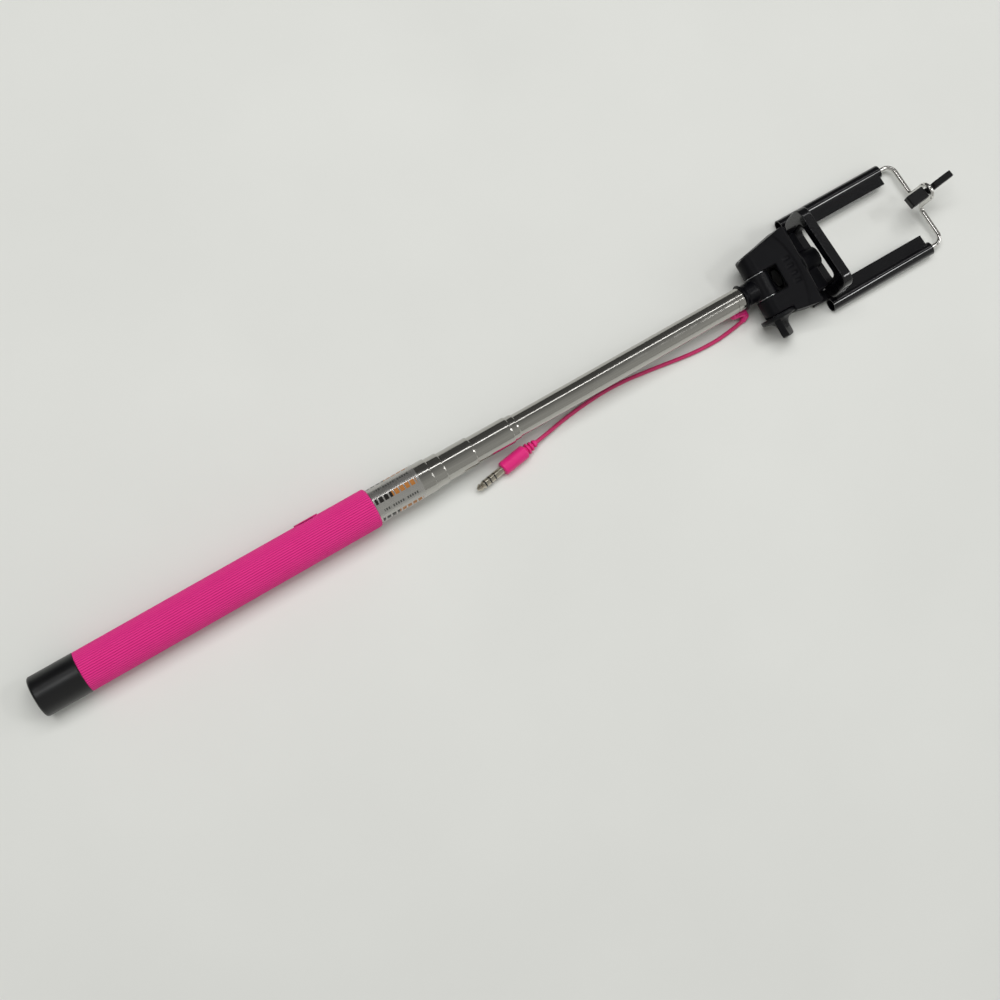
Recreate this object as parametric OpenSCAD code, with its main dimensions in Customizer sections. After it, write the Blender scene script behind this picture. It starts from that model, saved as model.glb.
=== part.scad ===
// Wired selfie stick: ribbed grip, telescopic tube, tilting head and spring phone holder.
// The origin is the centre of the butt's end face. X runs along the pole to the phone holder,
// Z points up from the table that the stick lies on, and Y is across the pole. Millimetres.

/* [Handle] */
// Diameter of the end cap
cap_d = 17.7; // [17:0.1:19]
// Length of the end cap
cap_len = 19.9; // [16:0.1:26]
// Diameter over the ribs of the grip
grip_d = 17.5; // [17.4:0.1:18.6]
// Length of the grip sleeve
grip_len = 133.1; // [125:0.1:140]
// Number of lengthwise ribs around the grip
grip_ribs = 54; // [40:2:64]
// Depth of the grooves between the ribs
rib_depth = 0.3; // [0.1:0.05:0.3]
// Distance from the butt to the middle of the shutter button
button_x = 126; // [110:1:133]
// Length of the shutter button
button_len = 11; // [9:0.5:13]
// Width of the shutter button
button_w = 6.2; // [5:0.1:6.4]

/* [Telescopic tube] */
// Diameter of the outer tube
tube_d = 15; // [14.9:0.05:15]
// How much thinner each tube is than the one it slides in
tube_step = 0.95; // [0.9:0.01:1]
// Wall of every tube
tube_wall = 0.35; // [0.3:0.01:0.38]
// Distance from the butt to the outer tube's mouth
outer_mouth = 180.7; // [180:0.1:188]
// Lengths of tubes 2 to 6 that show beyond the mouth of the tube before
shown = [5.8, 14.6, 18.6, 3.2, 117.3];
// Width of the printed band around the outer tube
label_len = 21.7; // [15:0.1:24]

/* [Head] */
// Turn of the head about the pole
head_roll = 10; // [0:1:10]
// Width of the head block at its hinge end
head_w = 29.6; // [29:0.1:31]
// Width of the head block at its holder end
head_end_w = 37.6; // [34:0.1:38]
// Thickness of the head block at its holder end
head_end_t = 16; // [14:0.1:16.4]
// Diameter of the thumb knob's flange
knob_d = 16.4; // [14:0.1:16.4]
// Turn of the thumb knob
knob_turn = 126; // [0:1:180]

/* [Phone holder] */
// Distance between the two rail tubes
rail_gap = 43.2; // [42:0.1:44]
// Diameter of a rail tube
rail_d = 6.2; // [6:0.1:6.4]
// Length of a rail tube
rail_len = 56.5; // [55:0.1:58]
// Diameter of the spring wire
wire_d = 2.2; // [2:0.1:2.4]
// Height of the fixed jaw above the rails
jaw_h = 20.2; // [16:0.1:22]

/* [Cord] */
// Diameter of the cord
cord_d = 1.8; // [1.6:0.1:2]
// Diameter of the plug's moulded body
plug_d = 6.4; // [6:0.1:6.4]

/* [Hidden] */

eps = 0.01;        // overlap that makes a cut clean
run = 0.05;        // radial clearance of a running fit
$fn = 64;

// Tubes: number 1 is the outer tube, number 6 carries the head
tube_start = 8;         // butt end of the outer tube, inside the cap
fold_show = 2.8;        // what still shows of each tube when it is pushed home
fold_start = 16;        // butt end of tube 2 when it is pushed home
fold_step = 7.5;        // from there to the butt end of the next tube
spigot_len = 4;         // bush inside its tube
flange_len = 3;         // bush behind its tube
lip_len = 12;           // mouth drawn in to guide the next tube
function tube_od(k) = tube_d - (k - 1) * tube_step;
function tube_id(k) = tube_od(k) - 2 * tube_wall;
function mouth_x(k) = k == 1 ? outer_mouth : mouth_x(k - 1) + shown[k - 2];
function tube_len(k) = outer_mouth + (k - 1) * fold_show - fold_start - (k - 2) * fold_step;
tube_end = mouth_x(6);
crimp_x = tube_end - 3.5;

// Hinge between the neck and the head
hinge_x = tube_end + 11.6;
barrel_r = 5.3;
barrel_w = 10.8;
slot_w = 11.6;
screw_r = 2;
head_nose_r = 5.5;                  // round end of the block
head_len = 19.6;                    // from the hinge to the holder end
skirt_x = 16.4;                     // where the raised skirt begins, in the middle
skirt_r = 45;                       // plan radius of its edge
skirt_up = 0.5;
slot_end = 8.2;                     // closed end of the slot
mark_z = 6.5;                       // floor of the grip mark
recess_y = 14.2;                    // face that the knob's flange sits against
nut_af = 7;
stud_r = 3.175;                     // quarter-inch thread

// Holder
holder_x = hinge_x + head_len;      // end face of the head block
pad_t = 0.7;
base_x = holder_x + pad_t + 0.1;
base_t = 6.7;
rail_x = holder_x + 7.6;
rail_end = rail_x + rail_len;
rail_y = rail_gap / 2;
rail_z = -8.9;
rail_bore = rail_d - 0.9;
flange_top = rail_z + 2.7;
flange_t = 1.2;
flange_y = rail_y - 7.1;
hub_r = 4.7;
hub_end = base_x + 9.3;
jaw_x = base_x + base_t + 0.2;
jaw_t = 4.5;
jaw_w = 41;
jaw_bottom = flange_top + 0.5;
jaw_top = jaw_bottom + jaw_h;
jaw_side = 6.2;                     // width of the jaw's uprights
jaw_bar = 4.8;                      // width of its top bar
jaw_sill = 3.2;                     // width of its bottom bar
jaw_screw_y = flange_y + 1.8;
liner_t = 1;
wire_x = rail_end + 7.6;             // cross bars of the wire
wire_in = rail_x + 15.5;            // inner ends of its legs
wire_corner = 4.4;                  // bend radius where a leg meets the cross bar
wire_foot = 2.4;                    // bend radius where the cross bar meets the hairpin
hairpin_y = 0.2;                    // centre of the hairpin's arch
hairpin_r = 3.4;
hairpin_up = 10.5;                  // arch centre above the cross bar
hairpin_skew = 5;                   // the hairpin's lean to the right
hairpin_lean = 4;                   // its lean away from the phone
hook_y = 0.1;
hook_yaw = 5.6;

// Cord: where it leaves the tube, its route along the table, and the plug
boot_x = 335.5;
cord_route = [
    [341.2, -7.2, -10.4], [336.7, -8, -10.6], [330.7, -8.8, -10.5], [324.7, -9.3, -10.5],
    [314.7, -9.1, -10.4], [305.7, -8.2, -10.3], [296.7, -6.9, -10.3], [287.7, -5.7, -10.2],
    [278.7, -4.7, -10.1], [269.7, -4.3, -10], [260.7, -4.6, -9.9], [251.7, -5.4, -9.8],
    [243.7, -6.5, -9.4], [236.7, -7.8, -8.5], [231.7, -8.7, -7.8], [228, -9.3, -7.4]
];
plug_tip = [195.7, -14.5, -7.4];
plug_angle = 9.2;
plug_metal = 14.2;
plug_len = 33.2;
jack_r = 1.75;

// ---- helpers ----

// Turns a shape built along Z so that it runs along X, from x
module along_x(x = 0) {
    translate([x, 0, 0]) rotate([0, 90, 0]) children();
}

module tube_x(x0, x1, r_out, r_in) {
    along_x(x0) difference() {
        cylinder(h = x1 - x0, r = r_out);
        translate([0, 0, -eps]) cylinder(h = x1 - x0 + 2 * eps, r = r_in);
    }
}

// Moves from the hinge's own frame, rolled with the head, into the stick's frame
module at_hinge() {
    translate([hinge_x, 0, 0]) rotate([head_roll, 0, 0]) children();
}

// A cylinder along the hinge axis, between two places on it
module hinge_rod(r, y0, y1) {
    translate([0, y1, 0]) rotate([90, 0, 0]) cylinder(h = y1 - y0, r = r);
}

function unit(v) = v / norm(v);
function tangent(p, i) = unit(p[min(i + 1, len(p) - 1)] - p[max(i - 1, 0)]);
function square_to(n, t) = unit(n - (n * t) * t);
function ring(c, n, b, r, sides) =
    [for (a = [0 : sides - 1]) c + r * (cos(a * 360 / sides) * n + sin(a * 360 / sides) * b)];

// A round rod that follows a list of points
module sweep(p, r, sides, first_normal) {
    normals = [for (i = 0, n = square_to(first_normal, tangent(p, 0)); i < len(p);
        i = i + 1, n = square_to(n, tangent(p, min(i, len(p) - 1)))) n];
    rings = [for (i = [0 : len(p) - 1])
        each ring(p[i], normals[i], cross(tangent(p, i), normals[i]), r, sides)];
    last = (len(p) - 1) * sides;
    walls = [for (i = [0 : len(p) - 2], a = [0 : sides - 1]) let (b = (a + 1) % sides)
        each [[i * sides + a, (i + 1) * sides + a, (i + 1) * sides + b],
              [i * sides + a, (i + 1) * sides + b, i * sides + b]]];
    ends = [[for (a = [0 : sides - 1]) a], [for (a = [sides - 1 : -1 : 0]) last + a]];
    polyhedron(points = rings, faces = concat(walls, ends));
}

// A smooth curve through hand-set points, with steps rings between each two
function bend(p, i, t) = let (
    a = p[max(i - 1, 0)], b = p[i], c = p[i + 1], d = p[min(i + 2, len(p) - 1)])
    0.5 * (2 * b + (c - a) * t + (2 * a - 5 * b + 4 * c - d) * t * t
        + (3 * b - a - 3 * c + d) * t * t * t);
function smooth(p, steps) = concat(
    [for (i = [0 : len(p) - 2], s = [0 : steps - 1]) bend(p, i, s / steps)], [p[len(p) - 1]]);

// ---- handle ----

module end_cap() color([0.1, 0.1, 0.11]) difference() {
    along_x() rotate_extrude() polygon([
        [0, 0], [cap_d / 2 - 0.9, 0], [cap_d / 2 - 0.3, 0.3], [cap_d / 2, 0.9],
        [cap_d / 2, cap_len - 0.3], [cap_d / 2 - 0.3, cap_len], [0, cap_len]]);
    along_x(3) cylinder(h = cap_len, r = tube_d / 2 + run);
    translate([3, 7, -1.2]) cube([cap_len, 1, 2.4]);
}

module button_hole(grow, y0, y1) {
    half = (button_len - button_w) / 2;
    translate([button_x, y1, 0]) rotate([90, 0, 0]) {
        for (s = [-1, 1]) translate([s * half, 0, 0]) cylinder(h = y1 - y0, r = button_w / 2 + grow);
        translate([-half, -button_w / 2 - grow, 0]) cube([2 * half, button_w + 2 * grow, y1 - y0]);
    }
}

module grip_sleeve() color([0.84, 0.16, 0.5]) {
    r = grip_d / 2;
    steps = 4;
    rim = [for (i = [0 : grip_ribs * steps - 1])
        let (a = i * 360 / (grip_ribs * steps), groove = i % steps == 0 ? rib_depth : 0)
        (r - groove) * [cos(a), sin(a)]];
    difference() {
        intersection() {
            along_x(cap_len) linear_extrude(grip_len) polygon(rim);
            along_x(cap_len) rotate_extrude() polygon([
                [0, 0], [r - 0.2, 0], [r + 0.1, 0.3], [r + 0.1, grip_len - 1.2],
                [r - 0.35, grip_len - 0.4], [r - 1.1, grip_len], [0, grip_len]]);
        }
        along_x(cap_len - eps) cylinder(h = grip_len + 2 * eps, r = tube_d / 2 + run);
        button_hole(0.2, 7, 10);
        translate([cap_len - eps, 7, -1.1]) cube([button_x - cap_len, 0.9, 2.2]);
        translate([button_x - 7.2, 7, -2.6]) cube([14.4, 0.9, 5.2]);
    }
}

// The mouth of each tube is drawn in until it just clears the next one, and stops its bush
module tube_shape(x0, x1, k) {
    r = tube_od(k) / 2;
    bore = tube_id(k) / 2;
    lip = tube_od(k + 1) / 2 + run;
    along_x(x0) rotate_extrude() polygon([
        [bore, 0], [r, 0], [r, x1 - x0 - 0.7], [r - 0.06, x1 - x0 - 0.35],
        [r - 0.2, x1 - x0 - 0.1], [r - 0.36, x1 - x0], [lip, x1 - x0],
        [lip, x1 - x0 - lip_len], [bore, x1 - x0 - lip_len - 0.3]]);
}

module outer_tube() color([0.75, 0.75, 0.76]) tube_shape(tube_start, outer_mouth, 1);

module tube_label() color([0.9, 0.9, 0.88])
    tube_x(cap_len + grip_len + 0.1, cap_len + grip_len + label_len, tube_d / 2 + 0.1, tube_d / 2 + 0.01);

// The button's top follows the grip's curve
module shutter_button() color([0.8, 0.14, 0.47]) intersection() {
    button_hole(0, grip_d / 2 - 0.45, 10);
    along_x(button_x - button_len) cylinder(h = 2 * button_len, r = grip_d / 2 + 0.5);
}

module switch_strip() color([0.75, 0.45, 0.1]) {
    y = tube_d / 2 + 0.02;
    translate([button_x - 7, y, -2.5]) cube([14, 0.3, 5]);
    translate([5.4, y, -1]) cube([button_x - 12, 0.3, 2]);
}

module switch_dome() color([0.8, 0.8, 0.8])
    translate([button_x, tube_d / 2 + 0.53, 0]) rotate([90, 0, 0]) cylinder(h = 0.2, r = 2);

module switch_lead() color([0.2, 0.2, 0.22]) {
    translate([6, tube_d / 2, 0]) rotate([90, 0, 0]) cylinder(h = tube_d / 2, r = 0.45);
    along_x(6) cylinder(h = 6, r = 0.45);
}

module lead_anchor() color([0.25, 0.25, 0.27])
    tube_x(tube_start + 0.2, 12, tube_id(1) / 2 - 0.02, 0.5);

module coiled_lead() color([0.12, 0.12, 0.13]) tube_x(12.1, boot_x - 30, 3.1, 1.7);

// ---- telescopic tubes ----

module inner_tube(k) color([0.75, 0.75, 0.76])
    tube_shape(mouth_x(k) - tube_len(k), mouth_x(k), k);

module bush(k) color([0.85, 0.85, 0.82]) {
    x = mouth_x(k) - tube_len(k);
    bore = tube_id(k) / 2 - 1;
    tube_x(x - flange_len, x, tube_id(k - 1) / 2 - run, bore);
    tube_x(x - eps, x + spigot_len, tube_id(k) / 2 - 0.02, bore);
}

// The last tube is crimped on to the neck and has a hole for the cord
module tube_6() color([0.75, 0.75, 0.76]) difference() {
    x = mouth_x(6) - tube_len(6);
    r = tube_od(6) / 2;
    union() {
        tube_x(x, crimp_x - 0.5, r, tube_id(6) / 2);
        along_x(crimp_x - 0.5 - eps) rotate_extrude() polygon([
            [tube_id(6) / 2, 0], [r, 0], [r - 0.18, 0.3], [r - 0.18, 0.7], [r, 1],
            [r, 3.7], [r - 0.25, 4], [tube_id(6) / 2, 4]]);
    }
    translate([boot_x, 0, 0]) rotate([145, 0, 0]) translate([0, 0, 3]) cylinder(h = 5, r = 1.75);
}

// ---- neck, cord and plug ----

module neck_stem() color([0.1, 0.1, 0.11]) {
    difference() {
        union() {
            along_x(tube_end - 4.5) rotate_extrude() polygon([
                [0, 0], [tube_id(6) / 2 - 0.02, 0], [tube_id(6) / 2 - 0.02, 4.5], [5.8, 4.5],
                [6, 4.7], [6, 5.2], [5.6, 5.6], [5.2, 6.1], [4.95, 6.7], [4.65, 6.8], [4.65, 7.1],
                [4.95, 7.2], [4.95, 12], [0, 16]]);
            at_hinge() hinge_rod(barrel_r, -barrel_w / 2, barrel_w / 2);
        }
        at_hinge() hinge_rod(screw_r + run, -barrel_w, barrel_w);
        // room for the root of the cord's boot
        translate([tube_end - 5, -6, -7]) cube([boot_x + 1.8 - tube_end + 5, 6, 7]);
    }
}

module cord_boot() color([0.85, 0.18, 0.5]) {
    joints = [[boot_x, -2.9, -4.1, 1.65], [boot_x, -4.3, -5.9, 1.65], [boot_x + 5.4, -4.9, -7.1, 1.65],
              [boot_x + 6.2, -6.3, -9, 1.6], [boot_x + 4.8, -7.2, -10.3, 1.35]];
    for (i = [0 : len(joints) - 2]) hull() for (j = [i, i + 1])
        translate([joints[j][0], joints[j][1], joints[j][2]]) sphere(r = joints[j][3], $fn = 24);
}

module cord() color([0.75, 0.2, 0.42]) sweep(smooth(cord_route, 2), cord_d / 2, 8, [0, 0, 1]);

// From the plug's own frame, with X from the tip to the cord, to the stick's frame
module at_plug() translate(plug_tip) rotate([0, 0, plug_angle]) children();

module plug_body() color([0.9, 0.2, 0.52]) at_plug() {
    r = plug_d / 2;
    along_x() rotate_extrude() polygon(concat(
        [[0, plug_metal], [r - 0.5, plug_metal], [r, plug_metal + 0.5], [r, 26.6], [r - 0.5, 27.2]],
        [for (g = [0 : 2], e = [[0, -0.9], [0.7, -0.9], [0.8, 0], [1.7, 0]])
            [r - 0.6 - g * 0.4 + e[1], 27.3 + g * 1.75 + e[0]]],
        [[1.4, plug_len - 0.6], [1.4, plug_len], [0, plug_len]]));
}

module plug_contacts() color([0.8, 0.78, 0.7]) at_plug() {
    along_x() rotate_extrude() polygon([
        [0, 0], [0.6, 0.15], [1.55, 1.5], [jack_r, 1.9], [1.15, 2.7], [jack_r, 3.4], [jack_r, 4], [0, 4]]);
    for (span = [[4.6, 6.6], [7.2, 9.2], [9.8, plug_metal]])
        along_x(span[0]) cylinder(h = span[1] - span[0], r = jack_r);
}

module plug_insulators() color([0.08, 0.08, 0.08]) at_plug()
    for (x = [4, 6.6, 9.2]) along_x(x) cylinder(h = 0.6, r = jack_r);

// ---- tilting head ----

// Outline of the block seen along the hinge axis; t is half its thickness at the holder end
module head_side(t) {
    circle(r = head_nose_r);
    polygon([[0, -head_nose_r], [head_len - 0.8, -t], [head_len, -t + 0.8],
             [head_len, t - 0.8], [head_len - 0.8, t], [0, head_nose_r]]);
}

// Outline of the block seen from above
module head_plan() {
    w = head_w / 2;
    e = head_end_w / 2;
    x = -head_nose_r - 0.3;
    polygon([[x, -w + 2.7], [x + 0.4, -w + 1.4], [x + 1.3, -w + 0.5], [x + 2.6, -w],
             [head_len - 1.8, -e], [head_len - 0.5, -e + 0.6], [head_len + 1, -e + 2],
             [head_len + 1, e - 2], [head_len - 0.5, e - 0.6], [head_len - 1.8, e],
             [x + 2.6, w], [x + 1.3, w - 0.5], [x + 0.4, w - 1.4], [x, w - 2.7]]);
}

module head_body(t) intersection() {
    translate([0, 25, 0]) rotate([90, 0, 0]) linear_extrude(50) head_side(t);
    translate([0, 0, -10]) linear_extrude(20) head_plan();
}

module head_block() color([0.1, 0.1, 0.11]) at_hinge() difference() {
    union() {
        head_body(head_end_t / 2 - skirt_up);
        difference() {
            head_body(head_end_t / 2);
            translate([skirt_x - skirt_r, 0, -10]) cylinder(h = 20, r = skirt_r);
        }
    }
    translate([-7, -slot_w / 2, -10]) cube([slot_end + 7, slot_w, 20]);
    hinge_rod(screw_r + 0.1, -20, 20);
    hinge_rod(knob_d / 2 + 0.3, -25, -recess_y);
    translate([0, 11.8, 0]) rotate([-90, 0, 0]) cylinder(h = 10, d = (nut_af + 0.2) / cos(30), $fn = 6);
    along_x(slot_end - 0.5) cylinder(h = 4.6, r = 5.2);
    along_x(slot_end) cylinder(h = head_len, r = stud_r + 0.05);
    // grip mark: a shallow panel with three low bars in it
    difference() {
        translate([11.7, -6.2, mark_z]) cube([3.4, 12.4, 4]);
        for (y = [-3.6, 0, 3.6]) translate([11.5, y - 1, mark_z - 0.2]) cube([4, 2, 0.8]);
    }
}

module hinge_washers() color([0.7, 0.7, 0.72]) at_hinge()
    for (y = [-slot_w / 2 + 0.02, barrel_w / 2 + 0.02]) difference() {
        hinge_rod(4.6, y, y + 0.36);
        hinge_rod(screw_r + 0.1, y - 1, y + 1);
    }

module hinge_screw() color([0.7, 0.7, 0.72]) at_hinge() hinge_rod(screw_r, -19, 14.8);

// A trumpet-shaped boss with a flat wing across it
module thumb_knob() color([0.1, 0.1, 0.11])
    at_hinge() translate([0, -recess_y - 0.15, 0]) rotate([90, 0, 0]) rotate([0, 0, knob_turn])
    difference() {
        union() {
            rotate_extrude() polygon([
                [0, 0], [knob_d / 2, 0], [knob_d / 2, 1.4], [knob_d / 2 - 0.5, 2],
                [5.9, 2.4], [4.4, 3], [3.3, 4], [2.7, 5.4], [2.5, 7], [0, 7]]);
            translate([0, 0, 1]) rotate([90, 0, 0]) linear_extrude(3.2, center = true)
                polygon([[-6.3, 0], [6.3, 0], [6.3, 7.6], [5.6, 9.2], [4.2, 9.6],
                         [-4.2, 9.6], [-5.6, 9.2], [-6.3, 7.6]]);
        }
        translate([0, 0, -1]) cylinder(h = 1 + 19 - recess_y - 0.15, r = screw_r + 0.01);
    }

module captive_nut() color([0.7, 0.7, 0.72]) at_hinge() difference() {
    translate([0, 11.85, 0]) rotate([-90, 0, 0]) cylinder(h = 2.9, d = nut_af / cos(30), $fn = 6);
    hinge_rod(screw_r + run, 11, 16);
}

module mount_screw() color([0.7, 0.7, 0.72]) at_hinge() {
    along_x(slot_end) cylinder(h = 4, d = 8.8, $fn = 6);
    along_x(slot_end + 3) cylinder(h = hub_end - 0.6 - hinge_x - slot_end - 3, r = stud_r);
}

// ---- phone holder ----

module platform_pad() color([0.14, 0.14, 0.15]) tube_x(holder_x + 0.05, holder_x + 0.05 + pad_t, 7.6, 3.4);

module holder_base() color([0.11, 0.11, 0.12]) difference() {
    union() {
        translate([base_x, -flange_y + 0.3, -11.4]) cube([base_t, 2 * flange_y - 0.6, 12.4]);
        along_x(base_x) cylinder(h = hub_end - base_x, r = hub_r);
        for (s = [-1, 1]) translate([base_x, s * jaw_screw_y - 2.1, -11.4])
            cube([jaw_x + jaw_t + 0.8 - base_x, 4.2, flange_top - flange_t - 0.01 + 11.4]);
    }
    along_x(base_x - 1) cylinder(h = 12, r = stud_r + 0.08);
    on_jaw_screws(-12) {
        cylinder(h = 10, r = 1.05);
        cylinder(h = 1.75, r = 2);
    }
}

module jaw_screws() color([0.6, 0.6, 0.62])
    on_jaw_screws(-11.3) {
        cylinder(h = 1, r = 1.9);
        cylinder(h = 8.2, r = 1);
    }

// A tube with a flat flange folded inward from it; side is 1 or -1
module rail(side) color([0.09, 0.09, 0.1]) scale_y(side) difference() {
    union() {
        translate([0, rail_y, rail_z]) along_x(rail_x) cylinder(h = rail_len, r = rail_d / 2);
        translate([rail_x, flange_y, flange_top - flange_t])
            cube([rail_len - 2, rail_y - flange_y - 1, flange_t]);
        translate([rail_x, flange_y, flange_top - 2.4]) cube([rail_len - 3.4, 1, 2.3]);
    }
    translate([0, rail_y, rail_z]) along_x(rail_x - 1) cylinder(h = rail_len + 2, r = rail_bore / 2);
    translate([jaw_x + jaw_t / 2, jaw_screw_y, -12]) cylinder(h = 10, r = 1.05);
    translate([rail_x - 1, flange_y - 1, flange_top - 3])
        cube([jaw_x + jaw_t - rail_x + 2, 2.4, 3 - flange_t]);
}

module scale_y(side) mirror([0, side < 0 ? 1 : 0, 0]) children();

module rounded_frame(w, z0, z1, r) {
    hull() for (y = [-w / 2 + r, w / 2 - r], z = [z0 + r, z1 - r]) translate([y, z]) circle(r = r, $fn = 32);
}

// Turns an outline drawn in Y and Z into a plate that faces along X
module plate_yz(x, t) translate([x, 0, 0]) rotate([90, 0, 90]) linear_extrude(t) children();

module jaw_window(inset) {
    rounded_frame(jaw_w - 2 * jaw_side - 2 * inset, jaw_bottom + jaw_sill + inset,
        jaw_top - jaw_bar - inset, 3.4 - inset);
}

// Places along Z at the two screws that hold the jaw down through the rails
module on_jaw_screws(z) {
    for (s = [-1, 1]) translate([jaw_x + jaw_t / 2, s * jaw_screw_y, z]) children();
}

module lower_jaw() color([0.1, 0.1, 0.11]) difference() {
    union() {
        plate_yz(jaw_x, jaw_t) difference() {
            rounded_frame(jaw_w, jaw_bottom, jaw_top, 5);
            jaw_window(0);
        }
        on_jaw_screws(flange_top + 0.01) cylinder(h = 1, r = 1.9);
    }
    on_jaw_screws(flange_top - 1) cylinder(h = 4.5, r = 1.03);
    hub_clearance();
}

// Room for the base's hub, which reaches through the foot of the window
module hub_clearance() along_x(jaw_x - 1) cylinder(h = hub_end + 0.4 - jaw_x + 1, r = hub_r + 0.15);

module jaw_liner() color([0.16, 0.16, 0.17]) difference() {
    plate_yz(jaw_x + 0.5, jaw_t - 1) difference() {
        jaw_window(0.01);
        jaw_window(liner_t);
    }
    hub_clearance();
}

module on_both_rails() for (s = [-1, 1]) translate([0, s * rail_y, rail_z]) children();

module rail_bushes() color([0.2, 0.2, 0.21]) on_both_rails()
    tube_x(rail_end - 3, rail_end, rail_bore / 2 - 0.02, wire_d / 2 + run);

module leg_stops() color([0.7, 0.7, 0.72]) on_both_rails()
    tube_x(wire_in + 1, wire_in + 3.5, rail_bore / 2 - 0.08, wire_d / 2 + 0.01);

module bail_springs() color([0.6, 0.6, 0.62]) on_both_rails()
    tube_x(wire_in + 3.6, rail_end - 3.1, 2.2, 1.5);

// A bent wire. Each step is a straight length, then a bend: its angle, radius and direction
module bent_wire(steps, i = 0) {
    r = wire_d / 2;
    length = steps[i][0];
    angle = steps[i][1];
    bend_r = steps[i][2];
    translate([0, 0, -eps]) cylinder(h = length + 2 * eps, r = r);
    if (angle > 0) translate([0, 0, length]) rotate([0, 0, steps[i][3]]) {
        translate([bend_r, 0, 0]) rotate([90, 0, 0]) rotate([0, 0, 180 - angle])
            rotate_extrude(angle = angle) translate([bend_r, 0]) circle(r = r + eps);
        translate([bend_r * (1 - cos(angle)), 0, bend_r * sin(angle)]) rotate([0, angle, 0])
            bent_wire(steps, i + 1);
    }
}

// Leg, corner, cross bar, up the hairpin, round its arch, down, cross bar, corner, leg
module wire_bail() color([0.75, 0.75, 0.77]) {
    shift = hairpin_up * tan(hairpin_skew);
    half = hairpin_r / cos(hairpin_skew);
    near_turn = wire_foot * tan(45 + hairpin_skew / 2);
    far_turn = wire_foot * tan(45 - hairpin_skew / 2);
    leg = wire_x - wire_corner - wire_in;
    bar = rail_y - wire_corner;
    arm = hairpin_up / cos(hairpin_skew);
    drop = hairpin_r * tan(hairpin_skew);
    translate([wire_in, -rail_y, rail_z]) rotate([0, 90, 0]) bent_wire([
        [leg, 90, wire_corner, 90],
        [bar + hairpin_y + shift - half - near_turn, 90 + hairpin_skew, wire_foot, 90 + hairpin_lean],
        [arm - drop - near_turn, 180, hairpin_r, 180],
        [arm + drop - far_turn, 90 - hairpin_skew, wire_foot, 180],
        [bar - hairpin_y - shift - half - far_turn, 90, wire_corner, -90 - hairpin_lean],
        [leg, 0, 0, 0]]);
}

// A lip over the phone's edge, a neck under the hairpin's arch, and a finger tab beyond it
module hook() color([0.12, 0.12, 0.13])
    translate([wire_x, hook_y, 0]) rotate([0, 0, hook_yaw]) rotate([90, 0, 0]) {
        linear_extrude(5.6, center = true) polygon([
            [-11.7, 2.9], [-2.6, 2.9], [-2, 3.4], [-2.2, 6], [-2.8, 6.5], [-11.1, 6.5], [-11.7, 5.9]]);
        linear_extrude(3, center = true) polygon([
            [-3.4, 3], [-2.6, 0.9], [4.4, 0.9], [4.6, 3.4], [-3, 3.4]]);
        linear_extrude(3, center = true) polygon([
            [3.6, 1.2], [13.2, 3.4], [14.1, 4.3], [13.9, 6], [13, 6.6], [4.6, 4.9], [3.4, 3.2]]);
    }

end_cap();
grip_sleeve();
outer_tube();
tube_label();
shutter_button();
switch_strip();
switch_dome();
switch_lead();
lead_anchor();
coiled_lead();
inner_tube(2);  // tube_2
inner_tube(3);  // tube_3
inner_tube(4);  // tube_4
inner_tube(5);  // tube_5
tube_6();
bush(2);  // bush_2
bush(3);  // bush_3
bush(4);  // bush_4
bush(5);  // bush_5
bush(6);  // bush_6
neck_stem();
cord_boot();
cord();
plug_body();
plug_contacts();
plug_insulators();
head_block();
hinge_washers();
hinge_screw();
thumb_knob();
captive_nut();
mount_screw();
platform_pad();
holder_base();
jaw_screws();
rail(1);  // rail_left
rail(-1);  // rail_right
lower_jaw();
jaw_liner();
rail_bushes();
leg_stops();
bail_springs();
wire_bail();
hook();
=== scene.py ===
import math

import bmesh
import bpy
from mathutils import Matrix, Vector


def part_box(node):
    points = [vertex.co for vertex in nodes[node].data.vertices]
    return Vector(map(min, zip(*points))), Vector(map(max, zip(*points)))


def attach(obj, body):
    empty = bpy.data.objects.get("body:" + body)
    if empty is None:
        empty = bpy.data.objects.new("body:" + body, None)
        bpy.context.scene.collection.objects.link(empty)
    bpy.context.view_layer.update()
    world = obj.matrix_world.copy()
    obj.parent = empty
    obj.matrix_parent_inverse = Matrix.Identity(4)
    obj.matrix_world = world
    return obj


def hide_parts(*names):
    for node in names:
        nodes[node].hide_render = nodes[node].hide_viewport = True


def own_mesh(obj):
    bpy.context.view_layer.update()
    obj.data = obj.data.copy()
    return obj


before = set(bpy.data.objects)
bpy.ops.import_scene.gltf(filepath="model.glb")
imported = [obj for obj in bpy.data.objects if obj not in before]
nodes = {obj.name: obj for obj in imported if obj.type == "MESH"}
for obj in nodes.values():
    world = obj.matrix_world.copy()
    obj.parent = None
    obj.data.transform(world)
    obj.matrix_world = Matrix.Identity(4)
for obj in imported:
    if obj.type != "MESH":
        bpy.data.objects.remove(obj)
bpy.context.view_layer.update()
MM = 0.001


# ---- Camera, table and light ----
# The stick lies on a plain pale table that meets the butt cap and the rails' near ends.
# A large soft panel hangs over it, and four small lamps draw the bright lines in the steel,
# the rails and the butt cap.

def link(obj):
    """Puts an object in the scene."""
    bpy.context.collection.objects.link(obj)
    return obj


eye = Vector((89.77, -102.64, 559.15)) * MM
look_right = Vector((0.8496, -0.5188, 0.0952)).normalized()
look_ahead = Vector((0.1922, 0.1364, -0.9718)).normalized()
look_up = look_right.cross(look_ahead).normalized()
look_right = look_ahead.cross(look_up)

camera_data = bpy.data.cameras.new("camera")
camera_data.lens = 49.28
camera_data.sensor_width = 36
camera_data.clip_start = 0.01
camera = link(bpy.data.objects.new("camera", camera_data))
camera.matrix_world = Matrix.Translation(eye) @ Matrix(
    (look_right, look_up, -look_ahead)).transposed().to_4x4()
bpy.context.scene.camera = camera


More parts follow.
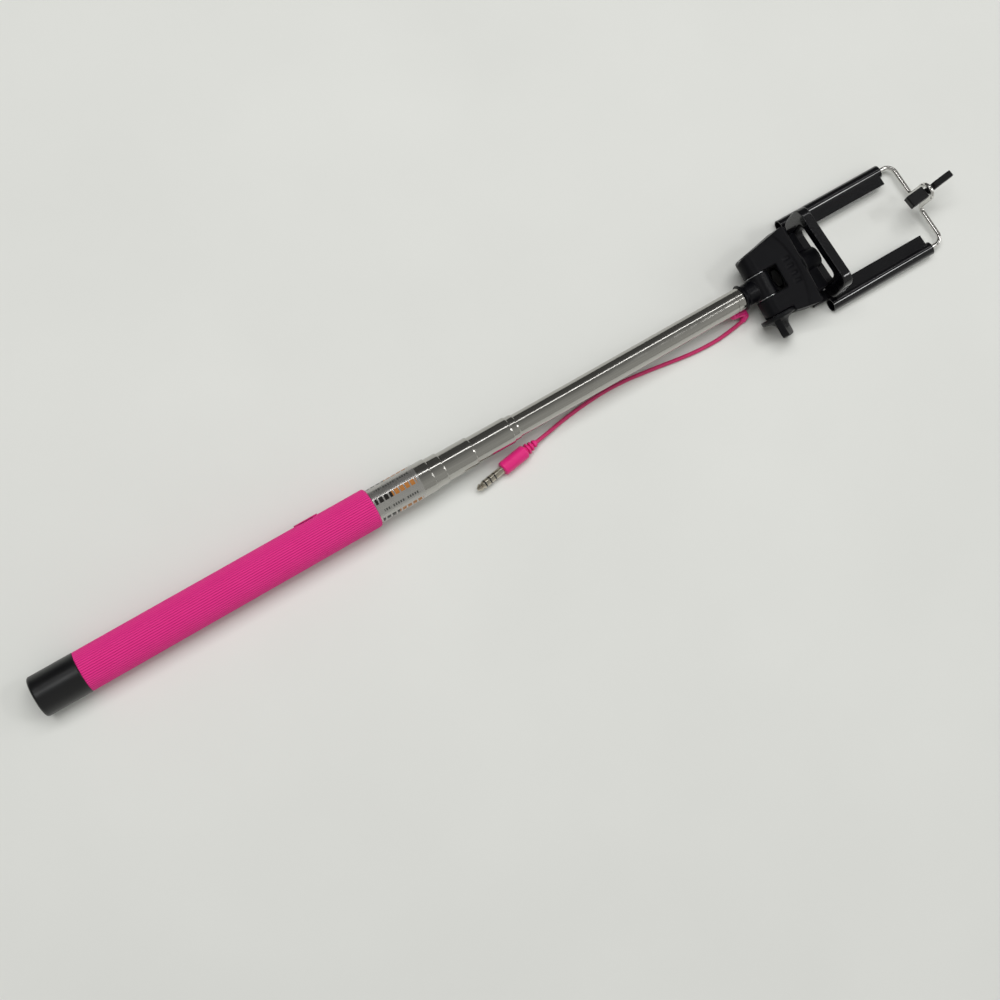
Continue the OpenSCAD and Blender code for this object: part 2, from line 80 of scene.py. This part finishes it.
def fill(tree, socket, value):
    """Wires a socket to the one given as its value, or sets it to a plain value."""
    if isinstance(value, bpy.types.NodeSocket):
        tree.links.new(value, socket)
    else:
        socket.default_value = value


def adder(tree):
    """A function that adds a node to the tree, sets its options and fills its sockets."""
    def add(kind, inputs=(), **options):
        node = tree.nodes.new(kind)
        for option, value in options.items():
            setattr(node, option, value)
        for socket, value in dict(inputs).items():
            fill(tree, node.inputs[socket], value)
        return node

    return add


def new_material(name):
    """A material with a Principled shader, its adder, and a function that feeds the shader."""
    material = bpy.data.materials.new(name)
    material.use_nodes = True
    tree = material.node_tree
    shader = tree.nodes["Principled BSDF"]

    def feed(socket, value):
        fill(tree, shader.inputs[socket], value)

    return material, adder(tree), feed


def linear(red, green, blue):
    """The linear colour of a screen colour given as three numbers from 0 to 255."""
    return tuple(((c / 255 + 0.055) / 1.055) ** 2.4 if c > 10 else c / 255 / 12.92
                 for c in (red, green, blue)) + (1.0,)


table_half = 4.0
table_height = -8.88 * MM
table_tilt = 0.0083  # radians, down towards the head

table_mesh = bpy.data.meshes.new("table")
table_mesh.from_pydata([(table_half * x, table_half * y, 0)
                        for x, y in ((-1, -1), (1, -1), (1, 1), (-1, 1))], [], [(0, 1, 2, 3)])
table = link(bpy.data.objects.new("table", table_mesh))
table.location = (0, 0, table_height)
table.rotation_euler = (0, table_tilt, 0)

table_white, add, feed = new_material("table_white")
place = add("ShaderNodeTexCoord")
mottle = add("ShaderNodeTexNoise", {"Vector": place.outputs["Object"], "Scale": 9.0,
                                    "Detail": 5.0})
tone = add("ShaderNodeMix", {"Factor": mottle.outputs["Fac"], "A": linear(214, 215, 211),
                             "B": linear(224, 225, 221)}, data_type="RGBA")
feed("Base Color", tone.outputs["Result"])
feed("Roughness", 0.55)
table_mesh.materials.append(table_white)

# The room is dim and darker on the far side, which is what the bright steel mirrors.
world = bpy.data.worlds.new("room")
world.use_nodes = True
room = world.node_tree
add = adder(room)
way = add("ShaderNodeTexCoord")
split = add("ShaderNodeSeparateXYZ", {0: way.outputs["Generated"]})
side = add("ShaderNodeMapRange", {"Value": split.outputs["Y"], "From Min": -1.0})
fade = add("ShaderNodeValToRGB", {"Fac": side.outputs["Result"]})
stops = fade.color_ramp.elements
stops[0].position, stops[0].color = 0.15, (0.40, 0.40, 0.38, 1)
stops[1].position, stops[1].color = 0.85, (0.08, 0.08, 0.077, 1)
stops.new(0.5).color = (0.22, 0.22, 0.21, 1)
room.links.new(fade.outputs["Color"], room.nodes["Background"].inputs["Color"])
bpy.context.scene.world = world
bpy.context.scene.view_settings.view_transform = "Standard"


def panel(name, spot, target, width, height, power, mirrored=True):
    """A soft rectangular light; one that isn't mirrored lights things but isn't seen in them."""
    data = bpy.data.lights.new(name, "AREA")
    data.shape = "RECTANGLE"
    data.size, data.size_y, data.energy = width, height, power
    lamp = link(bpy.data.objects.new(name, data))
    lamp.location = spot
    lamp.rotation_euler = (Vector(target) - Vector(spot)).to_track_quat("-Z", "Y").to_euler()
    lamp.visible_glossy = mirrored


panel("panel_overhead", spot=(0.30, 0.30, 1.5), target=(0.23, 0.0, 0.0),
      width=1.5, height=0.9, power=15, mirrored=False)
panel("strip_lamp", spot=(0.55, 0.62, 1.4), target=(0.40, 0.0, 0.0),
      width=2.0, height=0.07, power=2.6)
panel("end_lamp", spot=(2.1, -0.55, 0.95), target=(0.30, 0.0, 0.0),
      width=0.9, height=0.9, power=5.0)
panel("rail_lamp", spot=(1.20, -0.45, 1.4), target=(0.40, 0.0, 0.0),
      width=0.34, height=0.16, power=2.6)
panel("cap_lamp", spot=(-0.20, 0.15, 1.4), target=(0.01, 0.0, 0.0),
      width=0.5, height=0.12, power=1.5)


# ---- Cord, boot and plug ----
# A limp pink cord leaves the last tube through a moulded boot, turns back, and lies on the
# table beside the pole. Its four-contact headset plug is moulded on with a grooved relief.

def new_group(name, inputs, outputs):
    """A group of shader nodes with float inputs and their usual values, and typed outputs."""
    group = bpy.data.node_groups.new(name, "ShaderNodeTree")
    for label, value in inputs.items():
        group.interface.new_socket(label, in_out="INPUT",
                                   socket_type="NodeSocketFloat").default_value = value
    for label, kind in outputs.items():
        group.interface.new_socket(label, in_out="OUTPUT", socket_type=kind)
    enter = group.nodes.new("NodeGroupInput")
    leave = group.nodes.new("NodeGroupOutput")

    def give(label, value):
        group.links.new(value, leave.inputs[label])

    return group, adder(group), enter.outputs, give


# Moulded grain: fine pits with a slow unevenness under them.
moulded_grain, add, given, give = new_group(
    "moulded_grain", {"Pits": 2500.0, "Flow": 90.0},
    {"Height": "NodeSocketFloat", "Patches": "NodeSocketFloat"})
place = add("ShaderNodeTexCoord")
pits = add("ShaderNodeTexNoise", {"Vector": place.outputs["Object"], "Scale": given["Pits"],
                                  "Detail": 3.0, "Roughness": 0.6})
flow = add("ShaderNodeTexNoise", {"Vector": place.outputs["Object"], "Scale": given["Flow"],
                                  "Detail": 4.0, "Roughness": 0.55})
mixed = add("ShaderNodeMath", {0: pits.outputs["Fac"], 1: flow.outputs["Fac"]}, operation="ADD")
give("Height", mixed.outputs[0])
give("Patches", flow.outputs["Fac"])

# Draw lines: scratches that run the way the tube or wire was drawn, along X.
draw_lines, add, given, give = new_group(
    "draw_lines", {"Along": 25.0, "Across": 1800.0},
    {"Height": "NodeSocketFloat", "Scuffs": "NodeSocketFloat"})
place = add("ShaderNodeTexCoord")
stretch = add("ShaderNodeCombineXYZ", {"X": given["Along"], "Y": given["Across"],
                                       "Z": given["Across"]})
drawn = add("ShaderNodeVectorMath", {0: place.outputs["Object"], 1: stretch.outputs[0]},
            operation="MULTIPLY")
lines = add("ShaderNodeTexNoise", {"Vector": drawn.outputs[0], "Scale": 1.0, "Detail": 4.0})
scuffs = add("ShaderNodeTexNoise", {"Vector": place.outputs["Object"], "Scale": 160.0,
                                    "Detail": 6.0, "Roughness": 0.7})
give("Height", lines.outputs["Fac"])
give("Scuffs", scuffs.outputs["Fac"])

# Edge wear: a mask of the edges that hands and pockets rub, and a normal that rounds them.
edge_wear, add, given, give = new_group(
    "edge_wear", {"Radius": 0.0006, "Amount": 1.0},
    {"Mask": "NodeSocketFloat", "Normal": "NodeSocketVector"})
rounded = add("ShaderNodeBevel", {"Radius": given["Radius"]}, samples=6)
true_face = add("ShaderNodeNewGeometry")
facing = add("ShaderNodeVectorMath", {0: rounded.outputs["Normal"],
                                      1: true_face.outputs["Normal"]}, operation="DOT_PRODUCT")
turned = add("ShaderNodeMapRange", {"Value": facing.outputs["Value"], "From Min": 0.995,
                                    "From Max": 0.85, "To Min": 0.0, "To Max": 1.0})
rubbed = add("ShaderNodeTexNoise", {"Scale": 900.0, "Detail": 3.0})
worn = add("ShaderNodeMath", {0: turned.outputs["Result"], 1: rubbed.outputs["Fac"]},
           operation="MULTIPLY")
scaled = add("ShaderNodeMath", {0: worn.outputs[0], 1: given["Amount"]}, operation="MULTIPLY",
             use_clamp=True)
give("Mask", scaled.outputs[0])
give("Normal", rounded.outputs["Normal"])


def plastic(name, dark, light, smooth, rough, pits=2500.0, depth=0.00003, edge=0.0005, wear=0.5,
            coat=0.0, shine=0.5):
    """Moulded plastic or rubber: two tones in slow patches, fine pits, and edges rubbed paler.

    The tones are screen colours. Its roughness lies between smooth and rough. The depth of the
    pits and the radius of the edge are in metres."""
    material, add, feed = new_material(name)
    dark, light = linear(*dark), linear(*light)
    grain = add("ShaderNodeGroup", node_tree=moulded_grain)
    grain.inputs["Pits"].default_value = pits
    edges = add("ShaderNodeGroup", node_tree=edge_wear)
    edges.inputs["Radius"].default_value = edge
    edges.inputs["Amount"].default_value = wear
    tone = add("ShaderNodeMix", {"Factor": grain.outputs["Patches"], "A": dark, "B": light},
               data_type="RGBA")
    pale = tuple(min(1.0, c * 1.5 + 0.004) for c in light[:3]) + (1.0,)
    rubbed = add("ShaderNodeMix", {"Factor": edges.outputs["Mask"], "A": tone.outputs["Result"],
                                   "B": pale}, data_type="RGBA")
    feed("Base Color", rubbed.outputs["Result"])
    gloss = add("ShaderNodeMapRange", {"Value": grain.outputs["Patches"], "From Min": 0.3,
                                       "From Max": 0.7, "To Min": smooth, "To Max": rough})
    feed("Roughness", gloss.outputs["Result"])
    relief = add("ShaderNodeBump", {"Height": grain.outputs["Height"], "Distance": depth,
                                    "Strength": 1.0, "Normal": edges.outputs["Normal"]})
    feed("Normal", relief.outputs["Normal"])
    feed("Coat Weight", coat)
    feed("Coat Roughness", 0.04)
    feed("Specular IOR Level", shine)
    return material


def metal(name, dark, light, smooth, rough, depth=0.000002):
    """Bare metal with the lines it was drawn or turned with, and dull scuffed patches.

    The tones are linear colours, and the depth of the lines is in metres."""
    material, add, feed = new_material(name)
    drawn = add("ShaderNodeGroup", node_tree=draw_lines)
    edges = add("ShaderNodeGroup", node_tree=edge_wear)
    edges.inputs["Radius"].default_value = 0.0001
    tone = add("ShaderNodeMix", {"Factor": drawn.outputs["Height"], "A": dark, "B": light},
               data_type="RGBA")
    feed("Base Color", tone.outputs["Result"])
    feed("Metallic", 1.0)
    gloss = add("ShaderNodeMapRange", {"Value": drawn.outputs["Scuffs"], "From Min": 0.35,
                                       "From Max": 0.7, "To Min": smooth, "To Max": rough})
    feed("Roughness", gloss.outputs["Result"])
    relief = add("ShaderNodeBump", {"Height": drawn.outputs["Height"], "Distance": depth,
                                    "Strength": 1.0, "Normal": edges.outputs["Normal"]})
    feed("Normal", relief.outputs["Normal"])
    return material


def finish_nodes(material, *names):
    """Gives CAD nodes a finish in place of their plain colour."""
    for name in names:
        for slot in nodes[name].material_slots:
            slot.material = material


def moulded(node, body, material, voxel, passes):
    """A moulding with the node's shape and its edges softened, as they leave a real mould."""
    mesh = nodes[node].data.copy()
    piece = link(bpy.data.objects.new(node + "_moulding", mesh))
    skin = piece.modifiers.new("skin", "REMESH")
    skin.mode, skin.voxel_size = "VOXEL", voxel * MM
    soften = piece.modifiers.new("soften", "SMOOTH")
    soften.factor, soften.iterations = 0.5, passes
    thin = piece.modifiers.new("thin", "DECIMATE")
    thin.ratio = 0.4
    bpy.context.view_layer.update()
    final = bpy.data.meshes.new_from_object(
        piece.evaluated_get(bpy.context.evaluated_depsgraph_get()))
    piece.modifiers.clear()
    piece.data = final
    final.materials.clear()
    final.materials.append(material)
    final.shade_smooth()
    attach(piece, body)
    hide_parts(node)
    return piece


cord_d = 1.8
cord_route = [
    (341.2, -7.2, -10.4), (336.7, -8, -10.6), (330.7, -8.8, -10.5), (324.7, -9.3, -10.5),
    (314.7, -9.1, -10.4), (305.7, -8.2, -10.3), (296.7, -6.9, -10.3), (287.7, -5.7, -10.2),
    (278.7, -4.7, -10.1), (269.7, -4.3, -10), (260.7, -4.6, -9.9), (251.7, -5.4, -9.8),
    (243.7, -6.5, -9.4), (236.7, -7.8, -8.5), (231.7, -8.7, -7.8), (228, -9.3, -7.4)]

cord_line = bpy.data.curves.new("cord", "CURVE")
cord_line.dimensions = "3D"
spline = cord_line.splines.new("BEZIER")
spline.bezier_points.add(len(cord_route) - 1)
for knot, spot in zip(spline.bezier_points, cord_route):
    knot.co = Vector(spot) * MM
    knot.handle_left_type = knot.handle_right_type = "AUTO"
spline.resolution_u = 8
cord_line.bevel_depth = cord_d / 2 * MM
cord_line.bevel_resolution = 5
cord_line.use_fill_caps = True
cord_line.materials.append(plastic("cord_rubber", (186, 36, 94), (200, 50, 108),
                                   smooth=0.42, rough=0.55, pits=3000, depth=0.00001))
cord = link(bpy.data.objects.new("cord_line", cord_line))
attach(cord, "section_6")
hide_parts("cord")

pink_moulding = plastic("plug_rubber", (212, 26, 114), (226, 40, 128), smooth=0.32, rough=0.44,
                        pits=2200, depth=0.00002, edge=0.0002, wear=0.3)
plug = moulded("plug_body", "section_6", pink_moulding, voxel=0.14, passes=2)
moulded("cord_boot", "section_6", pink_moulding, voxel=0.14, passes=3)
finish_nodes(metal("contact_nickel", (0.50, 0.46, 0.38, 1), (0.66, 0.61, 0.52, 1),
                   smooth=0.12, rough=0.24), "plug_contacts")
finish_nodes(plastic("ring_black", (12, 12, 12), (20, 20, 20), smooth=0.3, rough=0.4),
             "plug_insulators")


# ---- Grip, butt cap and button ----
# A soft pink sleeve with fine lengthwise ribs is pushed over the outer tube, up to a satin
# black cap that closes the butt. The button sits in the sleeve over a snap dome, and its
# lead runs to a stretched coil inside the tubes.

finish_nodes(plastic("cap_plastic", (8, 8, 10), (14, 14, 16), smooth=0.30, rough=0.38,
                     pits=4000, depth=0.00001, wear=0.3), "end_cap")
grip_rubber = plastic("grip_rubber", (224, 42, 134), (230, 54, 142), smooth=0.5, rough=0.62,
                      pits=3500, depth=0.00002, edge=0.0003, wear=0.15, shine=0.3)


def maths(add, operation, first, second=0.0, third=0.0):
    """The result of a maths node, put in with a material's adder."""
    return add("ShaderNodeMath", {0: first, 1: second, 2: third}, operation=operation).outputs[0]


# Painted shade: the grooves between the ribs are coloured a darker pink where shade falls in them.
# The wave is highest in each groove.
grip_ribs = 54
add = adder(grip_rubber.node_tree)
place = add("ShaderNodeTexCoord")
axes = add("ShaderNodeSeparateXYZ", {0: place.outputs["Object"]})
turn = maths(add, "ARCTAN2", axes.outputs["Y"], axes.outputs["Z"])
wave = maths(add, "COSINE", maths(add, "MULTIPLY", turn, grip_ribs))
groove_shade_mask = add("ShaderNodeMapRange", {"Value": wave, "From Min": 0.2, "From Max": 0.9,
                                    "To Max": 0.55})
grip_colour = grip_rubber.node_tree.nodes["Principled BSDF"].inputs["Base Color"]
# Mixes the painted groove shade, a darker pink, into the rubber's colour.
painted_groove_shade = add("ShaderNodeMix", {"Factor": groove_shade_mask.outputs["Result"],
                                "A": grip_colour.links[0].from_socket,
                                "B": linear(158, 14, 86)}, data_type="RGBA")
grip_rubber.node_tree.links.new(painted_groove_shade.outputs["Result"], grip_colour)
finish_nodes(grip_rubber, "grip_sleeve")

finish_nodes(plastic("button_rubber", (196, 22, 110), (208, 34, 120), smooth=0.42, rough=0.5),
             "shutter_button")
finish_nodes(plastic("strip_film", (170, 108, 40), (190, 126, 52), smooth=0.3, rough=0.4),
             "switch_strip")
finish_nodes(metal("dome_steel", (0.6, 0.6, 0.58, 1), (0.72, 0.72, 0.7, 1),
                   smooth=0.2, rough=0.3), "switch_dome")
lead_vinyl = plastic("lead_vinyl", (24, 24, 26), (34, 34, 36), smooth=0.4, rough=0.5)
finish_nodes(lead_vinyl, "switch_lead")
finish_nodes(plastic("anchor_nylon", (28, 28, 30), (38, 38, 40), smooth=0.4, rough=0.5),
             "lead_anchor", "rail_bushes")


def swept(name, points, radius, sides):
    """A closed tube of one thickness along the points."""
    form = bmesh.new()
    rings = []
    across = None
    for i, spot in enumerate(points):
        ahead = (points[min(i + 1, len(points) - 1)] - points[max(i - 1, 0)]).normalized()
        across = ahead.orthogonal() if across is None else across - ahead * across.dot(ahead)
        across.normalize()
        over = ahead.cross(across)
        rings.append([form.verts.new(spot + radius * (across * math.cos(t) + over * math.sin(t)))
                      for t in (math.tau * k / sides for k in range(sides))])
    for near, far in zip(rings, rings[1:]):
        for k in range(sides):
            form.faces.new((near[k], near[(k + 1) % sides], far[(k + 1) % sides], far[k]))
    form.faces.new(rings[0][::-1])
    form.faces.new(rings[-1])
    for face in form.faces:
        face.smooth = True
    mesh = bpy.data.meshes.new(name)
    form.to_mesh(mesh)
    form.free()
    return link(bpy.data.objects.new(name, mesh))


def coil(name, start, end, y, z, radius, wire, turns):
    """A round helix of wire along X, all in millimetres."""
    steps = 14
    count = turns * steps
    points = [Vector((start + wire / 2 + (end - start - wire) * i / count,
                      y + radius * math.cos(math.tau * i / steps),
                      z + radius * math.sin(math.tau * i / steps))) * MM
              for i in range(count + 1)]
    return swept(name, points, wire / 2 * MM, sides=7)


def corners_mm(node):
    """A node's lowest and highest corners in millimetres."""
    return [[c / MM for c in corner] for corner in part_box(node)]


lead_low, lead_high = corners_mm("coiled_lead")
lead_coil = coil("coiled_lead_helix", lead_low[0], lead_high[0], y=0, z=0,
                 radius=2.35, wire=1.4, turns=120)
lead_coil.data.materials.append(lead_vinyl)
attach(lead_coil, "handle")
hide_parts("coiled_lead")
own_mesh(lead_coil)


# ---- Telescopic tubes ----
# Polished stainless tubes, each with its mouth drawn in to guide the next, and the inner ones
# with a nylon bush on the butt end. A printed silver film is wrapped round the outer one by
# the grip, with rows of plain printed blocks along it.

finish_nodes(metal("tube_steel", (0.42, 0.41, 0.385, 1), (0.57, 0.56, 0.53, 1),
                   smooth=0.10, rough=0.19, depth=0.0000015),
             "outer_tube", *[f"tube_{k}" for k in range(2, 7)])
finish_nodes(plastic("bush_nylon", (214, 212, 200), (226, 224, 212), smooth=0.4, rough=0.5),
             *[f"bush_{k}" for k in range(2, 7)])

# The print is laid out in shares: along is the share of the film's length, from the grip, and
# row is the share of one repeat round the tube.
print_repeats = 5
print_turned = 5.54
film_silver, ink_grey = (0.50, 0.49, 0.47, 1), linear(70, 70, 68)
ink_black, ink_brown = linear(20, 18, 16), linear(164, 104, 40)
film_metal = 0.85

film_low, film_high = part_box("tube_label")
label_film, add, feed = new_material("label_film")
place = add("ShaderNodeTexCoord")
axes = add("ShaderNodeSeparateXYZ", {0: place.outputs["Object"]})
turn = maths(add, "ARCTAN2", axes.outputs["Y"], axes.outputs["Z"])
row = maths(add, "FRACT", maths(add, "MULTIPLY_ADD", turn, print_repeats / math.tau,
                                print_turned))
along = maths(add, "DIVIDE", maths(add, "SUBTRACT", axes.outputs["X"], film_low[0]),
              film_high[0] - film_low[0])


def off(value, centre):
    """How far a value is from a centre."""
    return maths(add, "ABSOLUTE", maths(add, "SUBTRACT", value, centre))


def within(value, centre, reach):
    """A mask of where a value is nearer to a centre than its reach."""
    return maths(add, "LESS_THAN", off(value, centre), reach)


def blocks(pitch, filled):
    """A mask of blocks along the film that fill a share of each pitch."""
    return maths(add, "LESS_THAN", maths(add, "FRACT", maths(add, "DIVIDE", along, pitch)), filled)


def both(first, second):
    """Where two masks meet."""
    return maths(add, "MULTIPLY", first, second)


# Big blocks run along the middle of a repeat, black and then brown.
big = both(both(within(row, 0.5, reach=0.13), blocks(pitch=0.115, filled=0.74)),
           within(along, 0.48, reach=0.45))
ink = add("ShaderNodeMix", {"Factor": maths(add, "GREATER_THAN", along, 0.40), "A": ink_black,
                            "B": ink_brown}, data_type="RGBA")
# Small grey blocks run between two repeats, in groups.
small = both(both(maths(add, "GREATER_THAN", off(row, 0.5), 0.44),
                  blocks(pitch=0.052, filled=0.62)),
             both(blocks(pitch=0.31, filled=0.86), within(along, 0.5, reach=0.38)))
film = add("ShaderNodeMix", {"Factor": small, "A": film_silver, "B": ink_grey},
           data_type="RGBA")
printed = add("ShaderNodeMix", {"Factor": big, "A": film.outputs["Result"],
                                "B": ink.outputs["Result"]}, data_type="RGBA")
feed("Base Color", printed.outputs["Result"])
inked = maths(add, "MAXIMUM", big, small)
feed("Metallic", maths(add, "MULTIPLY_ADD", inked, -film_metal, film_metal))
creases = add("ShaderNodeTexNoise", {"Vector": place.outputs["Object"], "Scale": 260.0,
                                     "Detail": 3.0})
film_gloss = add("ShaderNodeMapRange", {"Value": creases.outputs["Fac"], "From Min": 0.3,
                                        "From Max": 0.7, "To Min": 0.20, "To Max": 0.32})
feed("Roughness", film_gloss.outputs["Result"])
film_relief = add("ShaderNodeBump", {"Height": creases.outputs["Fac"], "Distance": 0.000006})
feed("Normal", film_relief.outputs["Normal"])
finish_nodes(label_film, "tube_label")


# ---- Tilting head ----
# A black nylon block with a slot for the neck's barrel. A screw through both is drawn tight
# by the winged knob, and a quarter-inch stud comes out of the far end.

moulded("head_block", "head",
        plastic("head_nylon", (4, 4, 7), (9, 9, 13), smooth=0.36, rough=0.48, pits=2600,
                shine=0.2), voxel=0.26, passes=5)
moulded("neck_stem", "section_6",
        plastic("neck_nylon", (4, 4, 7), (9, 9, 13), smooth=0.30, rough=0.42, shine=0.22),
        voxel=0.2, passes=2)
moulded("thumb_knob", "knob",
        plastic("knob_nylon", (8, 8, 10), (15, 15, 18), smooth=0.36, rough=0.48, shine=0.22),
        voxel=0.2, passes=4)
finish_nodes(metal("zinc_steel", (0.52, 0.53, 0.54, 1), (0.64, 0.65, 0.66, 1),
                   smooth=0.26, rough=0.38),
             "hinge_washers", "hinge_screw", "captive_nut", "jaw_screws", "leg_stops")
finish_nodes(metal("blackened_steel", (0.02, 0.02, 0.022, 1), (0.05, 0.05, 0.052, 1),
                   smooth=0.3, rough=0.42), "mount_screw")
finish_nodes(plastic("pad_rubber", (16, 16, 17), (24, 24, 25), smooth=0.6, rough=0.75),
             "platform_pad")


# ---- Phone holder ----
# Two black rails are clamped to a moulded base, with a glossy upright ring at its near end.
# A sprung wire bail slides in the rails' tubes and carries the hook that holds the phone's
# far edge.

moulded("holder_base", "holder",
        plastic("base_nylon", (5, 5, 8), (10, 10, 14), smooth=0.36, rough=0.46, shine=0.2),
        voxel=0.26, passes=4)
finish_nodes(plastic("rail_enamel", (3, 3, 6), (7, 7, 11), smooth=0.2, rough=0.3, pits=900,
                     depth=0.000004, coat=0.9, wear=0.10, shine=0.12), "rail_left", "rail_right")
moulded("lower_jaw", "holder",
        plastic("jaw_gloss", (3, 3, 6), (7, 7, 11), smooth=0.2, rough=0.3, pits=900,
                depth=0.000004, coat=0.7, wear=0.12, shine=0.2), voxel=0.24, passes=14)
finish_nodes(plastic("liner_rubber", (12, 12, 14), (20, 20, 22), smooth=0.5, rough=0.62,
                     shine=0.3), "jaw_liner")
finish_nodes(metal("wire_steel", (0.66, 0.65, 0.63, 1), (0.82, 0.81, 0.78, 1),
                   smooth=0.07, rough=0.15), "wire_bail")

spring_steel = metal("spring_steel", (0.46, 0.46, 0.46, 1), (0.6, 0.6, 0.6, 1),
                     smooth=0.2, rough=0.3)
spring_inset = 2.2  # from the side of the springs' box to the middle of a coil
spring_low, spring_high = corners_mm("bail_springs")
spring_z = (spring_low[2] + spring_high[2]) / 2
for side, name in ((1, "left"), (-1, "right")):
    spring = coil("bail_spring_" + name, spring_low[0], spring_high[0],
                  y=side * (spring_high[1] - spring_inset), z=spring_z,
                  radius=1.95, wire=0.4, turns=10)
    spring.data.materials.append(spring_steel)
    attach(spring, "holder")
    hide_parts("bail_springs")
    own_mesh(spring)
moulded("hook", "bail",
        plastic("hook_nylon", (10, 10, 11), (20, 20, 21), smooth=0.34, rough=0.44, shine=0.3),
        voxel=0.18, passes=5)
